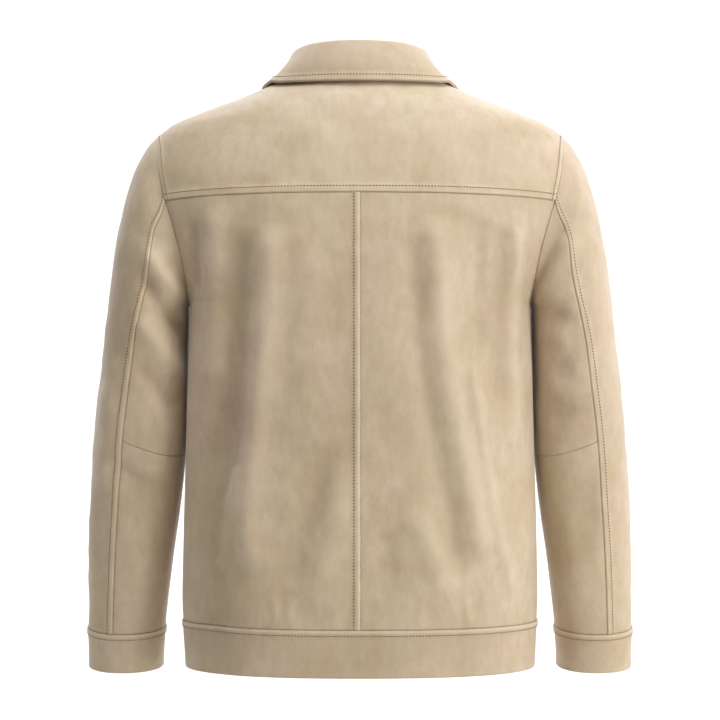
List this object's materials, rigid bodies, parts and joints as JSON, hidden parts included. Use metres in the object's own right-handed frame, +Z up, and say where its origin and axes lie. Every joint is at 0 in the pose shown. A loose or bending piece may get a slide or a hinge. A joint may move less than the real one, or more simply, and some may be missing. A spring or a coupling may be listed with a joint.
{
  "type": "suede jacket",
  "caption": "Hip-length suede jacket in its worn, hollow form, with a shirt collar, back yoke, two-piece sleeves, plain cuffs and hem band, and a closed front zip.",
  "frame": {"origin": "middle of the neck's base, level with the shoulders that carry the jacket", "axes": "+Z up, the front faces -Y, the wearer's left is +X"},
  "size_m": [0.6356, 0.2463, 0.7185],
  "materials": {
    "suede": "matt napped suede, pale tan",
    "zip_tape": "woven tape",
    "zip_metal": "dull antique metal"
  },
  "bodies": {
    "jacket": {"back_left": "suede", "back_right": "suede", "back_yoke": "suede", "front_left": "suede", "front_right": "suede", "sleeve_top_left": "suede", "undersleeve_upper_left": "suede", "undersleeve_lower_left": "suede", "cuff_left": "suede", "sleeve_top_right": "suede", "undersleeve_upper_right": "suede", "undersleeve_lower_right": "suede", "cuff_right": "suede", "hem_band": "suede", "collar_stand": "suede", "collar_leaf": "suede", "zip_tape_left": "zip_tape", "zip_tape_right": "zip_tape", "zip_slider": "zip_metal", "zip_box": "zip_metal"},
    "pull_tab": {"zip_pull": "zip_metal"}
  },
  "joints": [
    {"name": "pull_tab_hinge", "type": "hinge", "parent": "jacket", "child": "pull_tab", "pos_m": [0, -0.09269, -0.0549], "axis": [-1, 0, 0], "range_deg": [0, 150]}
  ]
}
